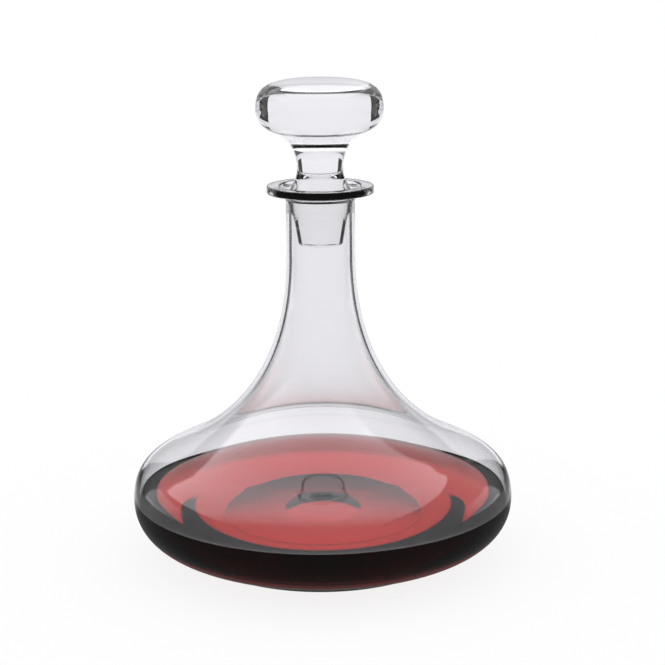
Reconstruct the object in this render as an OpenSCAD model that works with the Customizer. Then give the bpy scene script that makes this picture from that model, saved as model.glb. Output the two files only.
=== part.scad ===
// Ships decanter: a wide, low bowl drawn up into a slim neck with a flat lip,
// a solid stopper ground into the neck, and the wine that the bowl holds.
// Every piece is turned about the Z axis. The base stands on z = 0. Sizes are in millimetres.

/* [Base] */
// Diameter of the flat disc that it stands on
base_d = 84; // [60:1:100]
// Diameter at which the rounded heel is steepest
heel_d = 149; // [145:0.5:151]
// Height of the heel there
heel_z = 3.7; // [3.2:0.1:4.2]
// Slope of the heel there, in degrees
heel_slope = 40; // [37:1:46]
// Fullness of the sole between the flat disc and the heel, from 0 (slack) to 1 (square)
sole_full = 0.78; // [0.5:0.01:0.95]
// Fullness of the heel where the sole turns up
heel_full = 0.95; // [0.5:0.01:0.95]
// Diameter at which the heel becomes the underside of the bowl
under_d = 159.7; // [158.7:0.1:164]
// Height at which the heel becomes the underside of the bowl
under_z = 7.2; // [6.4:0.1:7.8]
// Slope of the underside there, in degrees
under_slope = 11; // [7:0.5:15]

/* [Bowl] */
// Greatest diameter of the bowl
bowl_d = 210; // [190:1:230]
// Height of the bowl's widest ring above the table
bowl_z = 33.1; // [30:0.1:38]
// Fullness of the underside on its way out from the heel
under_full = 0.71; // [0.4:0.01:0.9]
// Fullness of the underside below the widest ring
belly_full = 0.56; // [0.4:0.01:0.9]
// Fullness of the bowl above the widest ring
brow_full = 0.94; // [0.5:0.01:1]
// Fullness of the bowl where it becomes the shoulder
shoulder_full = 0.68; // [0.4:0.01:0.9]
// Diameter at which the shoulder turns from round to hollow
shoulder_d = 164.2; // [142:0.2:174]
// Height at which the shoulder turns from round to hollow
shoulder_z = 60.9; // [56:0.1:68]
// Slope of the shoulder at that turn, in degrees
shoulder_slope = 24.2; // [18:0.1:30]

/* [Neck] */
// Outer diameter of the straight neck
neck_d = 37.3; // [34:0.1:43]
// Height at which the neck becomes straight
neck_z = 170.5; // [148:0.5:178]
// Fullness of the sweep from the shoulder towards the neck
sweep_full = 0.99; // [0.5:0.01:1]
// Fullness of the sweep where it joins the neck
join_full = 0.26; // [0.2:0.01:0.8]

/* [Lip] */
// Height of the lip's flat top above the table
lip_z = 206; // [199:0.5:220]
// Diameter of the lip
lip_d = 57.6; // [53:0.1:68]
// Thickness of the lip
lip_t = 4.1; // [3:0.1:6]
// Rounding of the lip's two edges
lip_edge = 0.6; // [0.2:0.1:1.4]
// Radius of the hollow corner between neck and lip
lip_fillet = 5.2; // [2:0.1:6]
// Radius of the mouth's rounded edge
mouth_round = 3.2; // [1:0.1:3.6]

/* [Glass] */
// Thickness of the glass in the middle of the base
base_t = 6.5; // [4:0.5:9]
// Diameter of the cavity's flat floor
floor_d = 106; // [80:1:120]
// Thickness of the glass at the widest ring and the shoulder
bowl_t = 2.8; // [2:0.1:4.5]
// Thickness of the neck's wall
neck_t = 2.7; // [2:0.1:3.5]

/* [Ground joint] */
// Slope of the ground cone from the upright, in degrees
taper = 3.5; // [2:0.1:5]
// Length of the cone ground into the neck
socket_l = 13.6; // [11.5:0.1:18]
// Length of the stopper's ground band
band_l = 9.5; // [6:0.5:10.5]
// Depth of the ground band's top below the lip
band_drop = 4.2; // [3.7:0.1:5]
// Gap between the stopper's band and the neck's cone
joint_gap = 0.1; // [0.05:0.05:0.3]

/* [Stopper] */
// Diameter of the knob
knob_d = 68.2; // [58:0.1:80]
// Height of the knob's top above the lip
knob_top = 57.1; // [54:0.1:66]
// Height of the knob's widest ring above the lip
knob_z = 41; // [38:0.5:46]
// Fullness of the knob's flat top
crown_full = 0.85; // [0.5:0.01:0.95]
// Fullness of the knob's rim, above and below the widest ring
rim_full = 0.71; // [0.4:0.01:0.9]
// Diameter at which the knob's underside turns from round to hollow
turn_d = 50.6; // [44:0.2:54]
// Height of that turn above the lip
turn_z = 28.9; // [26:0.1:31]
// Slope of the underside at that turn, in degrees
turn_slope = 20.5; // [12:0.5:28]
// Diameter of the waist
waist_d = 24.8; // [20:0.2:27]
// Height of the waist above the lip
waist_z = 8.1; // [7:0.1:10]
// Fullness of the hollow between knob and waist
waist_full = 0.68; // [0.4:0.01:0.85]
// Height above the lip at which the foot of the waist turns from hollow to round
foot_z = 1.3; // [0.5:0.1:2]
// Slope of the foot at that turn, in degrees
foot_slope = 58; // [50:1:64]
// Drop from the ground band to the free end of the peg
step_l = 3.7; // [2:0.1:5]
// Step inwards from the ground band to the free end of the peg
step_in = 1.5; // [0.6:0.1:2]
// Depth of the peg's flat end below the lip
peg_l = 32; // [28:0.5:42]
// Diameter of the peg's flat end, to the start of its rounded edge
peg_end_d = 24.6; // [21:0.2:26]
// Rounding of the peg's end
peg_round = 1.7; // [0.4:0.1:3]

/* [Wine] */
// Height of the wine's surface above the table
wine_z = 34.2; // [16:0.2:54]
// Gap between the wine and the glass
wine_gap = 0.15; // [0.05:0.05:0.3]

/* [Hidden] */
$fn = 128;

glass_colour = [0.90, 0.91, 0.93, 0.4];
wine_colour = [0.40, 0.03, 0.06];

// Steps along each curve
steps = 10;
sweep_steps = 14;
round_steps = 5;
// Place along the underside, from 0 to 1, at which the cavity's floor joins it
floor_join = 0.45;
// Fullness of the heel, of the rim of the cavity's floor and of the stopper's foot
soft_full = 0.6;

floor_r = floor_d / 2;
bowl_r = bowl_d / 2;
neck_r = neck_d / 2;
lip_r = lip_d / 2;
bore_r = neck_r - neck_t;

// Ground cone: it widens upwards from the bore to the mouth's rounded edge
socket_top = lip_z - mouth_round;
socket_bottom = socket_top - socket_l;
function socket_r(z) = bore_r + (z - socket_bottom) * tan(taper);
function band_r(z) = socket_r(z) - joint_gap;

// Point and direction of a cubic curve through four control points, at place t from 0 to 1
function blend(c, t) =
    c[0] * pow(1 - t, 3)
    + c[1] * 3 * t * pow(1 - t, 2)
    + c[2] * 3 * t * t * (1 - t)
    + c[3] * pow(t, 3);
function blend_way(c, t) =
    (c[1] - c[0]) * pow(1 - t, 2)
    + (c[2] - c[1]) * 2 * t * (1 - t)
    + (c[3] - c[2]) * t * t;

// Point at which the line through p at heading a meets the line through q at heading b
function heading(a) = [cos(a), sin(a)];
function meet(p, a, q, b) =
    p + heading(a) * cross(q - p, heading(b)) / cross(heading(a), heading(b));

// Control points of a curve that leaves p at heading a and reaches q at heading b.
// Its handles cover the shares f and g of the way to the corner of those two lines.
function bow(p, a, q, b, f, g) =
    let (x = meet(p, a, q, b)) [p, p + (x - p) * f, q + (x - q) * g, q];

// Points on a curve, from place t0 to its end
function along(c, n, t0 = 0) = [for (i = [0 : n]) blend(c, t0 + (1 - t0) * i / n)];

// The same points, moved to the left of the curve's direction by a depth that runs from d0 to d1
function inset_at(c, t, d0, d1) =
    let (w = blend_way(c, t)) blend(c, t) + [-w.y, w.x] / norm(w) * (d0 + (d1 - d0) * t);
function inset(c, n, d0, d1, t0 = 0) =
    [for (i = [0 : n]) inset_at(c, t0 + (1 - t0) * i / n, d0, d1)];

// Points on a round corner about m
function corner(m, r, a0, a1, n = round_steps) =
    [for (i = [0 : n]) m + r * heading(a0 + (a1 - a0) * i / n)];

// Points and curves of the vessel's outside, from the base upwards
base_edge = [base_d / 2, 0];
heel = [heel_d / 2, heel_z];
heel_top = [under_d / 2, under_z];
bowl_ring = [bowl_r, bowl_z];
shoulder = [shoulder_d / 2, shoulder_z];
neck_foot = [neck_r, neck_z];
sole_curve = bow(base_edge, 0, heel, heel_slope, sole_full, heel_full);
heel_curve = bow(heel, heel_slope, heel_top, under_slope, soft_full, soft_full);
under = bow(heel_top, under_slope, bowl_ring, 90, under_full, belly_full);
brow = bow(bowl_ring, 90, shoulder, 180 - shoulder_slope, brow_full, shoulder_full);
sweep = bow(shoulder, 180 - shoulder_slope, neck_foot, 90, sweep_full, join_full);

function lip_outline() = concat(
    corner([neck_r + lip_fillet, lip_z - lip_t - lip_fillet], lip_fillet, 180, 90),
    corner([lip_r - lip_edge, lip_z - lip_t + lip_edge], lip_edge, -90, 0),
    corner([lip_r - lip_edge, lip_z - lip_edge], lip_edge, 0, 90),
    corner([socket_r(socket_top) + mouth_round, socket_top], mouth_round, 90, 180));

// Cavity from the middle of its floor up to the ground cone, which cuts off what reaches past its bottom.
// It is kept the distance gap off the glass.
function cavity_outline(gap) =
    let (
        base_in = base_t + gap,
        bowl_in = bowl_t + gap,
        neck_in = neck_t + gap,
        join = inset_at(under, floor_join, base_in, bowl_in),
        way = blend_way(under, floor_join),
        floor_rim = bow([floor_r, base_in], 0, join, atan2(way.y, way.x), soft_full, soft_full))
    concat(
        [[0, base_in]],
        along(floor_rim, steps),
        inset(under, steps, base_in, bowl_in, floor_join),
        inset(brow, steps, bowl_in, bowl_in),
        [for (p = inset(sweep, sweep_steps, bowl_in, neck_in)) if (p.y < socket_bottom) p],
        [[bore_r - gap, socket_bottom]]);

function reversed(list) = [for (i = [len(list) - 1 : -1 : 0]) list[i]];

// Consecutive points that coincide are kept once
function tidy(list) = [
    for (i = [0 : len(list) - 1])
        if (i == 0 || norm(list[i] - list[max(i - 1, 0)]) > 0.001) list[i]];

// Outline of the stopper, from the knob's top down to the middle of the peg's end
function stopper_outline() =
    let (
        knob_r = knob_d / 2,
        knob_ring = [knob_r, lip_z + knob_z],
        turn = [turn_d / 2, lip_z + turn_z],
        waist = [waist_d / 2, lip_z + waist_z],
        band_top_z = lip_z - band_drop,
        band_bottom_z = band_top_z - band_l,
        band_top = [band_r(band_top_z), band_top_z],
        band_bottom = [band_r(band_bottom_z), band_bottom_z],
        foot = [(waist.x + band_top.x) / 2, lip_z + foot_z],
        peg_top = band_bottom - [step_in, step_l],
        peg_end_z = lip_z - peg_l,
        peg_slope = atan2(peg_top.x - peg_end_d / 2, peg_top.y - peg_end_z - peg_round),
        peg_edge = [peg_end_d / 2 - peg_round, peg_end_z + peg_round])
    concat(
        along(bow([0, lip_z + knob_top], 0, knob_ring, 90, crown_full, rim_full), steps),
        along(bow(knob_ring, -90, turn, 180 + turn_slope, rim_full, soft_full), steps),
        along(bow(turn, 180 + turn_slope, waist, -90, waist_full, waist_full), steps),
        along(bow(waist, -90, foot, -foot_slope, soft_full, soft_full), round_steps),
        along(bow(foot, -foot_slope, band_top, -90 - taper, soft_full, soft_full), round_steps),
        [band_bottom],
        [peg_top],
        corner(peg_edge, peg_round, -peg_slope, -90),
        [[0, peg_end_z]]);

module vessel() {
    color(glass_colour)
        rotate_extrude()
            polygon(tidy(concat(
                [[0, 0]],
                along(sole_curve, steps),
                along(heel_curve, round_steps),
                along(under, steps),
                along(brow, steps),
                along(sweep, sweep_steps),
                lip_outline(),
                reversed(cavity_outline(0)))));
}

module stopper() {
    color(glass_colour)
        rotate_extrude()
            polygon(tidy(stopper_outline()));
}

module wine() {
    color(wine_colour)
        intersection() {
            rotate_extrude()
                polygon(tidy(concat(cavity_outline(wine_gap), [[0, socket_bottom]])));
            cylinder(r = bowl_r, h = wine_z);
        }
}

vessel();
stopper();
wine();
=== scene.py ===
"""Looks of the ships decanter: clear glass, a ground joint and red wine, in a plain pale studio."""

import math

import bmesh
import bpy
import numpy as np
from mathutils import Euler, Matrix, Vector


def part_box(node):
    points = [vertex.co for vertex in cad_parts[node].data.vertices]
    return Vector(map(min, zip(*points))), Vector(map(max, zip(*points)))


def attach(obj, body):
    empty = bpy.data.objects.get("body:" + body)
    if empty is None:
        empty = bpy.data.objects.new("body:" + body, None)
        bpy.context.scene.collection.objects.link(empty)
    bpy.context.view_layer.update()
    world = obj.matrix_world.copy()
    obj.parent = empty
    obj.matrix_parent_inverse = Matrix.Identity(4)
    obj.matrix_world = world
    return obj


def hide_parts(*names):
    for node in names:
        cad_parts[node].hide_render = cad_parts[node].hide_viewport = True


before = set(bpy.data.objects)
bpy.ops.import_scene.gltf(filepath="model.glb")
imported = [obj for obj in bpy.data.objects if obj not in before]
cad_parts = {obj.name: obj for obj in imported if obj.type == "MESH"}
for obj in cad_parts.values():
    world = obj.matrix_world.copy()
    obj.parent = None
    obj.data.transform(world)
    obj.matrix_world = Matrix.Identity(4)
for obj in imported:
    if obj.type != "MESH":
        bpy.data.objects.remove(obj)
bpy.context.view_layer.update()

MM = 0.001

# The photograph's camera: it stands in front of the decanter, and looks down a little
PHOTO_PX = 665
FOCAL_PX = 1705
SENSOR_MM = 36
CAMERA_AWAY = 908 * MM
CAMERA_UP = 341.2 * MM
PITCH_DOWN = math.radians(13.42)
PAN_RIGHT = math.radians(0.38)
ROLL = math.radians(0.42)

# Reading the outlines of the turned solids from the CAD meshes
RING_MERGE = 0.02 * MM
STRAIGHT_TURN = math.radians(0.3)
CORNER_TURN = math.radians(15)
CORNER_REACH = 2.5 * MM

# Fineness of the turned meshes
SEGMENTS = 192
RING_SPACING = 2.5 * MM
RING_TURN = math.radians(5)
SHARP_TURN = math.radians(25)

# The stopper's band and the neck's cone are ground where they lie this close to each other
GROUND_REACH = 0.2 * MM

# The base is pushed up like a shallow dome inside its standing ring, and the floor inside rises with it
DOME_RADIUS = 55 * MM
DOME_RISE = 4.4 * MM
FLOOR_RISE = 3 * MM

# A hollow is ground into the middle of the dome: nearly flat inside, and steeper towards its rim
HOLLOW_RADIUS = 21 * MM
HOLLOW_DEPTH = 1.5 * MM
HOLLOW_POWER = 4.5
UNDERSIDE_SPACING = 0.9 * MM

# The mouth is a small funnel that opens more and more, and is rounded over at the lip
FUNNEL_DEPTH = 5.1 * MM
FUNNEL_TILT = (math.radians(37), math.radians(62))
FUNNEL_RINGS = 10
MOUTH_ROUND = 1.3 * MM
MOUTH_RINGS = 5

# Points this close to the top of the lip lie on its flat face
LIP_FLAT = 0.08 * MM

# The wine wets the glass, so it reaches a little into it and climbs up the wall
WINE_SINK = 0.1 * MM
MENISCUS_CLIMB = 0.6 * MM
CAPILLARY_LENGTH = 2.3 * MM

# The climbing edge is drawn down to this share of its climb at the wall
MENISCUS_END = 0.02
MENISCUS_RINGS = 16

# Refractive indices
GLASS_IOR = 1.5
WINE_IOR = 1.345

# Light that crosses more surfaces than this is left black, which darkens the wine's front
MOST_SURFACES = 6

# Faint waves in polished glass and on the wine: how fine they are, and how deep
GLASS_WAVES = 20
GLASS_WAVE_DEPTH = 0.06 * MM
WINE_WAVES = 35
WINE_WAVE_DEPTH = 0.02 * MM
WAVE_DETAIL = 1

# Rough glass: its least and most roughness, and how fine its patches and its grit are
GROUND_ROUGHNESS = (0.05, 0.14)
WORN_ROUGHNESS = (0.14, 0.26)
PATCHES = 900
PATCH_DETAIL = 3
GRIT = 2500
GRIT_DETAIL = 2
GRIT_DEPTH = 0.02 * MM

# The colour that the wine leaves of white light, and how strongly it takes the rest
WINE_COLOUR = (0.87, 0.1, 0.06, 1)
WINE_DENSITY = 104

# The mark on the faces of the wine that touch air
FREE_SURFACE = "free_surface"

# The vessel's material slots
POLISHED, GROUND, WET, WORN = range(4)

# The floor, with air between it and the base, and the light on it. The camera sees it mixed with white
FLOOR_SIZE = 40
FLOOR_DROP = 0.1 * MM
FLOOR_COLOUR = (0.85, 0.85, 0.85, 1)
FLOOR_GLOW = 0.86
ROOM_LIGHT = (1.18, 1.18, 1.18, 1)
WHITE = (1, 1, 1, 1)

# The studio as the glass shows it, where 1 is white
FLOOR_IN_GLASS = (0.92, 0.91, 0.95, 1)
BACKDROP_IN_GLASS = (0.905, 0.9, 0.94, 1)
SOFTBOX_GLOW = (1.25, 1.21, 1.27, 1)
FLAG_BLACK = (0.04, 0.04, 0.04, 1)

# Through the glass, the floor round the bowl darkens over the first two radii, and clears over the last two
FLOOR_SHADED = (0.46, 0.44, 0.46, 1)
SHADE_RADII = (98 * MM, 108 * MM, 120 * MM, 165 * MM)

# Mirrored light shows a darker studio. Its floor is bright behind the bowl, and far back also beside that
FLOOR_REFLECTED = (0.14, 0.14, 0.14, 1)
FLOOR_BEHIND = (50 * MM, 120 * MM)
FLOOR_BESIDE = (130 * MM, 170 * MM)
FLOOR_FAR = (420 * MM, 500 * MM)
DARK_ROOM = (0.12, 0.12, 0.12, 1)
BACKDROP_REFLECTED = (0.55, 0.54, 0.56, 1)

# Mirrored light sees the backdrop where its direction points this far back, but not this far up
BACKDROP_BEHIND = (0, 0.3)
BACKDROP_TOP = (0.37, 0.41)

# Two black flags stand behind the decanter, left and right, so that its edges show dark against the white
FLAG_BACK = 0.3
FLAG_GAP = 0.2245
FLAG_WIDTH = 0.24
FLAG_HEIGHT = 0.3

# A softbox hangs over the decanter and behind it, and fades out towards the front
SOFTBOX_UP = 1.2
SOFTBOX_FRONT = -1
SOFTBOX_BACK = 1.34
SOFTBOX_LEFT = -1.8
SOFTBOX_RIGHT = 0.8
SOFTBOX_FADE = 0.42


def place_camera():
    data = bpy.data.cameras.new("camera")
    data.sensor_width = SENSOR_MM
    data.lens = FOCAL_PX / PHOTO_PX * SENSOR_MM
    camera = bpy.data.objects.new("camera", data)
    camera.location = (0, -CAMERA_AWAY, CAMERA_UP)
    aim = Euler((math.pi / 2 - PITCH_DOWN, 0, -PAN_RIGHT), "XYZ").to_matrix()
    camera.rotation_euler = (aim @ Euler((0, 0, -ROLL)).to_matrix()).to_euler()
    bpy.context.scene.collection.objects.link(camera)
    bpy.context.scene.camera = camera


def unit(vector):
    return vector / np.linalg.norm(vector)


def turn_between(before, after):
    return abs(math.atan2(before[0] * after[1] - before[1] * after[0], before @ after))


def outline(node):
    """(radius, height) of the rings of a turned CAD node, in order from its lower end to its other end."""
    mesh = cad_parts[node].data
    points = np.array([(math.hypot(v.co.x, v.co.y), v.co.z) for v in mesh.vertices])
    cells, cell_of = np.unique(np.round(points / RING_MERGE), axis=0, return_inverse=True)
    same = np.abs(cells[:, None] - cells[None]).max(axis=2) <= 1
    ring_of = same.argmax(axis=1)[cell_of.ravel()]
    place = {ring: points[ring_of == ring].mean(axis=0) for ring in set(ring_of)}
    linked = {ring: set() for ring in place}
    for edge in mesh.edges:
        a, b = (ring_of[v] for v in edge.vertices)
        if a != b:
            linked[a].add(b)
            linked[b].add(a)
    ends = [ring for ring in place if len(linked[ring]) == 1]
    chain = [min(ends, key=lambda ring: place[ring][1])]
    while len(chain) < len(place):
        chain.append(next(ring for ring in linked[chain[-1]] if ring not in chain))
    return drop_straight([place[ring] for ring in chain])


def drop_straight(points):
    """The same outline without the points that lie on a straight stretch of it."""
    kept = [points[0]]
    for here, after in zip(points[1:], points[2:]):
        if turn_between(here - kept[-1], after - here) > STRAIGHT_TURN:
            kept.append(here)
    return kept + [points[-1]]


def end_heading(end, next_point, next_heading):
    """Heading of a smooth outline at an end: level on the axis, and elsewhere as its own bend goes on."""
    chord = unit(next_point - end)
    if end[0] < RING_MERGE:
        return np.array([math.copysign(1, chord[0]), 0])
    return unit(2 * (chord @ next_heading) * chord - next_heading)


def smooth(points):
    """A fine, smooth curve through an outline's points, with its corners kept."""
    count = len(points)
    chords = [after - before for before, after in zip(points, points[1:])]
    arriving, leaving = [None] * count, [None] * count
    for i in range(1, count - 1):
        before, after = chords[i - 1], chords[i]
        reach = min(np.linalg.norm(before), np.linalg.norm(after))
        if turn_between(before, after) > CORNER_TURN and reach > CORNER_REACH:
            arriving[i], leaving[i] = unit(before), unit(after)
        else:
            arriving[i] = leaving[i] = unit(before + after)
    leaving[0] = end_heading(points[0], points[1], arriving[1])
    arriving[-1] = -end_heading(points[-1], points[-2], -leaving[-2])
    fine = [points[0]]
    for i, chord in enumerate(chords):
        length = np.linalg.norm(chord)
        start, finish = leaving[i] * length, arriving[i + 1] * length
        steps = math.ceil(max(length / RING_SPACING, turn_between(start, finish) / RING_TURN))
        for t in np.arange(1, steps + 1) / steps:
            fine.append(
                points[i] * (1 + 2 * t) * (1 - t) ** 2
                + start * t * (1 - t) ** 2
                + points[i + 1] * t * t * (3 - 2 * t)
                - finish * t * t * (1 - t)
            )
    return np.array(fine)


def domed(points):
    """The vessel's outline with its base pushed up, and ground hollow in the middle of its underside."""
    radius = np.linspace(0, DOME_RADIUS, round(DOME_RADIUS / UNDERSIDE_SPACING))
    dome = DOME_RISE * (1 - (radius / DOME_RADIUS) ** 2)
    hollow = HOLLOW_DEPTH * (1 - np.minimum(radius / HOLLOW_RADIUS, 1) ** HOLLOW_POWER)
    past = next(i for i, point in enumerate(points) if point[0] > DOME_RADIUS)
    edge, level = points[-1]
    inside = np.linspace(edge, 0, round(edge / RING_SPACING))
    floor = level + FLOOR_RISE * (1 - (inside / edge) ** 2) ** 2
    return np.vstack([
        np.column_stack([radius, dome + hollow]),
        points[past:-1],
        np.column_stack([inside, floor]),
    ])


def first_inside(points, height):
    """Place of the first point below a height on the inside of the vessel's outline."""
    return next(i for i in range(points[:, 1].argmax(), len(points)) if points[i][1] < height)


def flared(points):
    """The vessel's outline with its mouth opened to a funnel."""
    lip = points[:, 1].max()
    after = first_inside(points, lip - FUNNEL_DEPTH)
    heights = np.linspace(lip - FUNNEL_DEPTH, lip - MOUTH_ROUND, FUNNEL_RINGS)
    widening = np.tan(np.linspace(*FUNNEL_TILT, FUNNEL_RINGS - 1)) * np.diff(heights)
    radii = points[after][0] + np.append(0, np.cumsum(widening))
    funnel = np.column_stack([radii, heights])[::-1]
    top = np.array([funnel[0][0] + MOUTH_ROUND, lip])
    corner = np.array([funnel[0][0] + MOUTH_ROUND / 2, lip])
    t = np.linspace(0, 1, MOUTH_RINGS, endpoint=False)[:, None]
    rounding = top * (1 - t) ** 2 + corner * 2 * t * (1 - t) + funnel[0] * t ** 2
    on_lip = (points[:, 1] > lip - LIP_FLAT) & (points[:, 0] > top[0])
    return np.vstack([points[:np.flatnonzero(on_lip)[-1] + 1], rounding, funnel, points[after:]])


def ringed(points, height):
    """The vessel's outline with a ring more on its inside, at a height, and the place of that ring in it."""
    after = first_inside(points, height)
    above, below = points[after - 1], points[after]
    ring = above + (below - above) * (above[1] - height) / (above[1] - below[1])
    return np.insert(points, after, ring, axis=0), after


def offset(points, distance):
    """The outline moved to the right of its direction."""
    way = np.gradient(points, axis=0)
    way /= np.linalg.norm(way, axis=1)[:, None]
    moved = points + distance * np.column_stack([way[:, 1], -way[:, 0]])
    moved[points[:, 0] < RING_MERGE, 0] = 0
    return moved


def closed(points):
    """The outline with its open ends brought in, level, to the axis."""
    first, last = points[0], points[-1]
    start = [[0, first[1]]] if first[0] > RING_MERGE else np.empty((0, 2))
    finish = [[0, last[1]]] if last[0] > RING_MERGE else np.empty((0, 2))
    return np.vstack([start, points, finish])


def meniscus():
    """(distance from the wall, climb) along the curve in which still wine rises to a wall that it wets."""
    climb = MENISCUS_CLIMB * np.geomspace(1, MENISCUS_END, MENISCUS_RINGS)
    relative = climb / CAPILLARY_LENGTH
    run = np.arccosh(2 / relative) - np.sqrt(4 - relative ** 2)
    return CAPILLARY_LENGTH * (run - run[0]), climb


def wine_outline(wall, level):
    """The wine from the middle of its floor up the glass, over its climbing edge and in to the axis."""
    wet = offset(wall[::-1], WINE_SINK)
    away, climb = meniscus()
    surface = np.column_stack([wet[-1][0] - away, level + climb])
    return closed(np.vstack([wet, surface[1:]]))


def turned(name, points, materials, slot_of):
    """A closed mesh: an outline turned about the vertical axis. slot_of gives each stretch's material."""
    mesh = bpy.data.meshes.new(name)
    bm = bmesh.new()
    angles = [2 * math.pi * k / SEGMENTS for k in range(SEGMENTS)]
    rings = []
    for radius, height in points:
        if radius < RING_MERGE:
            rings.append([bm.verts.new((0, 0, height))] * SEGMENTS)
        else:
            rings.append(
                [bm.verts.new((radius * math.sin(a), -radius * math.cos(a), height)) for a in angles]
            )
    for i, (low, high) in enumerate(zip(rings, rings[1:])):
        for k in range(SEGMENTS):
            after = (k + 1) % SEGMENTS
            corners = dict.fromkeys([low[k], low[after], high[after], high[k]])
            face = bm.faces.new(list(corners))
            face.smooth = True
            face.material_index = slot_of[i]
    bmesh.ops.recalc_face_normals(bm, faces=bm.faces)
    for edge in bm.edges:
        edge.smooth = edge.calc_face_angle() < SHARP_TURN
    bm.to_mesh(mesh)
    bm.free()
    for material in materials:
        mesh.materials.append(material)
    piece = bpy.data.objects.new(name, mesh)
    bpy.context.scene.collection.objects.link(piece)
    return piece


def mark(piece, name, stretches):
    """Keeps a number for each stretch of a turned mesh as an attribute of its faces."""
    attribute = piece.data.attributes.new(name, "FLOAT", "FACE")
    attribute.data.foreach_set("value", np.repeat(np.array(stretches, float), SEGMENTS))


def joint_slots(points, other):
    """The slot of each stretch: ground where it lies against the other outline, and polished elsewhere."""
    gaps = np.linalg.norm(points[:, None] - other[None], axis=2).min(axis=1)
    near = gaps < GROUND_REACH + RING_SPACING / 2
    return np.where(near[:-1] & near[1:], GROUND, POLISHED)


def vessel_slots(points, stopper_points, wine_edge):
    """The slot of each stretch of the vessel, with its joint, its wet inside and its worn underside."""
    slots = joint_slots(points, stopper_points)
    slots[wine_edge:] = WET
    underside = points[:np.flatnonzero(points[:, 0] > DOME_RADIUS)[0], 0]
    slots[:len(underside)][underside > HOLLOW_RADIUS] = WORN
    return slots


def see_through(name, ior, roughness):
    """A clear material, and its nodes, links and main shader."""
    material = bpy.data.materials.new(name)
    material.use_nodes = True
    nodes = material.node_tree.nodes
    main = nodes["Principled BSDF"]
    main.inputs["Base Color"].default_value = WHITE
    main.inputs["Transmission Weight"].default_value = 1
    main.inputs["Roughness"].default_value = roughness
    main.inputs["IOR"].default_value = ior
    return material, nodes, material.node_tree.links, main


def grain(nodes, links, scale, detail):
    """Noise in the piece's own space."""
    place = nodes.new("ShaderNodeTexCoord")
    noise = nodes.new("ShaderNodeTexNoise")
    noise.inputs["Scale"].default_value = scale
    noise.inputs["Detail"].default_value = detail
    links.new(place.outputs["Object"], noise.inputs["Vector"])
    return noise.outputs["Fac"]


def rise(nodes, links, height, depth, main):
    """Raises the surface by a height from 0 to 1, times the depth."""
    bump = nodes.new("ShaderNodeBump")
    bump.inputs["Strength"].default_value = 1
    bump.inputs["Distance"].default_value = depth
    links.new(height, bump.inputs["Height"])
    links.new(bump.outputs["Normal"], main.inputs["Normal"])


def polished_glass(name, ior):
    material, nodes, links, main = see_through(name, ior, 0)
    rise(nodes, links, grain(nodes, links, GLASS_WAVES, WAVE_DETAIL), GLASS_WAVE_DEPTH, main)
    return material


def rough_glass(name, least, most):
    material, nodes, links, main = see_through(name, GLASS_IOR, (least + most) / 2)
    spread = nodes.new("ShaderNodeMapRange")
    spread.inputs["To Min"].default_value = least
    spread.inputs["To Max"].default_value = most
    links.new(grain(nodes, links, PATCHES, PATCH_DETAIL), spread.inputs["Value"])
    links.new(spread.outputs["Result"], main.inputs["Roughness"])
    rise(nodes, links, grain(nodes, links, GRIT, GRIT_DETAIL), GRIT_DEPTH, main)
    return material


def red_wine():
    """Wine bends light at its free surface. Where it wets the glass, that glass does so in its place."""
    material, nodes, links, main = see_through("red_wine", WINE_IOR, 0)
    rise(nodes, links, grain(nodes, links, WINE_WAVES, WAVE_DETAIL), WINE_WAVE_DEPTH, main)
    free = nodes.new("ShaderNodeAttribute")
    free.attribute_name = FREE_SURFACE
    unseen = nodes.new("ShaderNodeBsdfTransparent")
    surface = blend(nodes, links, free.outputs["Fac"], unseen.outputs["BSDF"], main.outputs["BSDF"])
    absorption = nodes.new("ShaderNodeVolumeAbsorption")
    absorption.inputs["Color"].default_value = WINE_COLOUR
    absorption.inputs["Density"].default_value = WINE_DENSITY
    output = nodes["Material Output"]
    links.new(surface, output.inputs["Surface"])
    links.new(absorption.outputs["Volume"], output.inputs["Volume"])
    return material


def glow(nodes, colour, kind="ShaderNodeEmission"):
    light = nodes.new(kind)
    light.inputs["Color"].default_value = colour
    return light.outputs[0]


def blend(nodes, links, share, shade, other):
    """The shade with a share of another one."""
    mix = nodes.new("ShaderNodeMixShader")
    links.new(share, mix.inputs["Fac"])
    links.new(shade, mix.inputs[1])
    links.new(other, mix.inputs[2])
    return mix.outputs["Shader"]


def by_ray(nodes, links, shade, cases):
    """The shade, or another one for some kinds of ray, where a later case goes over an earlier one.

    Glossy Depth stands for light that has been mirrored on its way.
    """
    path = nodes.new("ShaderNodeLightPath")
    for ray, other in cases:
        shade = blend(nodes, links, path.outputs[ray], shade, other)
    return shade


def ramp(nodes, links, value, start, end):
    """Runs from 0 to 1 as a value goes from start to end."""
    spread = nodes.new("ShaderNodeMapRange")
    spread.inputs["From Min"].default_value = start
    spread.inputs["From Max"].default_value = end
    links.new(value, spread.inputs["Value"])
    return spread.outputs["Result"]


def along(nodes, links, space, axis):
    """One coordinate of the place or direction that is shaded."""
    place = nodes.new("ShaderNodeTexCoord")
    split = nodes.new("ShaderNodeSeparateXYZ")
    links.new(place.outputs[space], split.inputs["Vector"])
    return split.outputs[axis]


def floor_in_glass(nodes, links):
    """The floor as light that was never mirrored shows it, with the shade round the bowl."""
    place = nodes.new("ShaderNodeTexCoord")
    radius = nodes.new("ShaderNodeVectorMath")
    radius.operation = "LENGTH"
    links.new(place.outputs["Object"], radius.inputs[0])
    inner, dark, end, outer = SHADE_RADII
    darkening = ramp(nodes, links, radius.outputs["Value"], inner, dark)
    clearing = ramp(nodes, links, radius.outputs["Value"], end, outer)
    bright, shaded = glow(nodes, FLOOR_IN_GLASS), glow(nodes, FLOOR_SHADED)
    return blend(nodes, links, clearing, blend(nodes, links, darkening, bright, shaded), bright)


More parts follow.
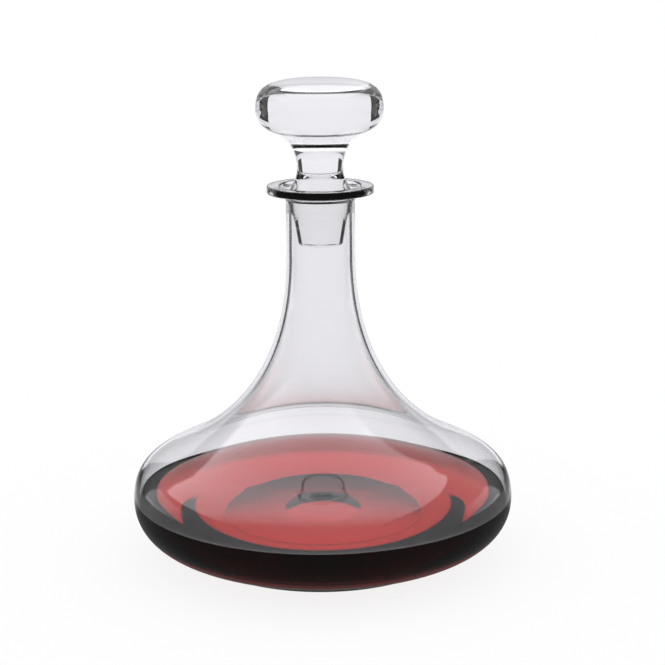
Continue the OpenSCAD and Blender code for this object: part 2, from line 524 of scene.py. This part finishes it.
def floor_reflected(nodes, links):
    """The floor as mirrored light shows it."""
    back = along(nodes, links, "Object", "Y")
    aside = nodes.new("ShaderNodeMath")
    aside.operation = "ABSOLUTE"
    links.new(along(nodes, links, "Object", "X"), aside.inputs[0])
    bright, dark = glow(nodes, FLOOR_IN_GLASS), glow(nodes, FLOOR_REFLECTED)
    shade = blend(nodes, links, ramp(nodes, links, back, *FLOOR_BEHIND), dark, bright)
    shade = blend(nodes, links, ramp(nodes, links, aside.outputs["Value"], *FLOOR_BESIDE), shade, dark)
    return blend(nodes, links, ramp(nodes, links, back, *FLOOR_FAR), shade, bright)


def floor_material():
    material = bpy.data.materials.new("pale_floor")
    material.use_nodes = True
    nodes, links = material.node_tree.nodes, material.node_tree.links
    nodes.clear()
    output = nodes.new("ShaderNodeOutputMaterial")
    matt = nodes.new("ShaderNodeBsdfDiffuse")
    matt.inputs["Color"].default_value = FLOOR_COLOUR
    lifted = nodes.new("ShaderNodeMixShader")
    lifted.inputs["Fac"].default_value = FLOOR_GLOW
    links.new(matt.outputs["BSDF"], lifted.inputs[1])
    links.new(glow(nodes, WHITE), lifted.inputs[2])
    shade = by_ray(nodes, links, matt.outputs["BSDF"], (
        ("Is Camera Ray", lifted.outputs["Shader"]),
        ("Is Transmission Ray", floor_in_glass(nodes, links)),
        ("Glossy Depth", floor_reflected(nodes, links)),
    ))
    links.new(shade, output.inputs["Surface"])
    return material


def lay_floor():
    bpy.ops.mesh.primitive_plane_add(size=FLOOR_SIZE, location=(0, 0, -FLOOR_DROP))
    floor = bpy.context.object
    floor.name = "floor"
    floor.data.materials.append(floor_material())


def hang(name, size, place, turn, colour, fade=0):
    """A panel of the studio, which shows in the glass alone. It can fade out over a share of its length."""
    bpy.ops.mesh.primitive_plane_add(size=1, location=place, rotation=turn)
    panel = bpy.context.object
    panel.name = name
    panel.scale = (*size, 1)
    material = bpy.data.materials.new(name)
    material.use_nodes = True
    nodes, links = material.node_tree.nodes, material.node_tree.links
    shade = glow(nodes, colour)
    if fade:
        faded = ramp(nodes, links, along(nodes, links, "Generated", "Y"), fade, 0)
        shade = blend(nodes, links, faded, shade, glow(nodes, DARK_ROOM))
    links.new(shade, nodes["Material Output"].inputs["Surface"])
    panel.data.materials.append(material)
    panel.visible_camera = panel.visible_diffuse = panel.visible_shadow = False


def hang_panels():
    for side, sign in (("left", -1), ("right", 1)):
        middle = (sign * (FLAG_GAP + FLAG_WIDTH / 2), FLAG_BACK, FLAG_HEIGHT / 2)
        hang("flag_" + side, (FLAG_WIDTH, FLAG_HEIGHT), middle, (math.pi / 2, 0, 0), FLAG_BLACK)
    size = (SOFTBOX_RIGHT - SOFTBOX_LEFT, SOFTBOX_BACK - SOFTBOX_FRONT)
    middle = ((SOFTBOX_LEFT + SOFTBOX_RIGHT) / 2, (SOFTBOX_FRONT + SOFTBOX_BACK) / 2, SOFTBOX_UP)
    hang("softbox", size, middle, (0, 0, 0), SOFTBOX_GLOW, SOFTBOX_FADE)


def light_world():
    world = bpy.data.worlds.new("studio")
    bpy.context.scene.world = world
    world.use_nodes = True
    nodes, links = world.node_tree.nodes, world.node_tree.links
    nodes.clear()
    output = nodes.new("ShaderNodeOutputWorld")
    white, light, backdrop, mirrored, room = (
        glow(nodes, colour, "ShaderNodeBackground")
        for colour in (WHITE, ROOM_LIGHT, BACKDROP_IN_GLASS, BACKDROP_REFLECTED, DARK_ROOM)
    )
    behind = ramp(nodes, links, along(nodes, links, "Generated", "Y"), *BACKDROP_BEHIND)
    above = ramp(nodes, links, along(nodes, links, "Generated", "Z"), *BACKDROP_TOP)
    reflected = blend(nodes, links, above, blend(nodes, links, behind, room, mirrored), room)
    shade = by_ray(nodes, links, light, (
        ("Is Camera Ray", white),
        ("Is Transmission Ray", backdrop),
        ("Glossy Depth", reflected),
    ))
    links.new(shade, output.inputs["Surface"])


place_camera()

wine_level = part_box("wine")[1].z
stopper_curve = closed(smooth(outline("stopper")))
vessel_curve, wine_edge = ringed(domed(flared(smooth(outline("vessel")))), wine_level + MENISCUS_CLIMB)
wine_curve = wine_outline(vessel_curve[wine_edge:], wine_level)

# Where wine wets the glass, light bends by the ratio of their two indices
clear = polished_glass("clear_glass", GLASS_IOR)
wet = polished_glass("wet_glass", GLASS_IOR / WINE_IOR)
ground = rough_glass("ground_glass", *GROUND_ROUGHNESS)
worn = rough_glass("worn_glass", *WORN_ROUGHNESS)

slots = vessel_slots(vessel_curve, stopper_curve, wine_edge)
vessel = turned("vessel_glass", vessel_curve, [clear, ground, wet, worn], slots)
stopper = turned("stopper_glass", stopper_curve, [clear, ground], joint_slots(stopper_curve, vessel_curve))

# The wine's outline has the wet wall's stretches first, and then those of its free surface
stretches = np.arange(len(wine_curve) - 1)
wine = turned("wine_body", wine_curve, [red_wine()], np.zeros_like(stretches))
mark(wine, FREE_SURFACE, stretches >= len(vessel_curve) - wine_edge - 1)

for piece, node, body, slot in (
    (vessel, "vessel", "decanter", "glass"),
    (stopper, "stopper", "stopper", "glass"),
    (wine, "wine", "decanter", "wine"),
):
    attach(piece, body)
    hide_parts(node)

lay_floor()
hang_panels()
light_world()

scene = bpy.context.scene
scene.view_settings.view_transform = "Standard"
scene.cycles.max_bounces = MOST_SURFACES - 1
scene.cycles.transmission_bounces = MOST_SURFACES - 1
scene.cycles.glossy_bounces = MOST_SURFACES - 1
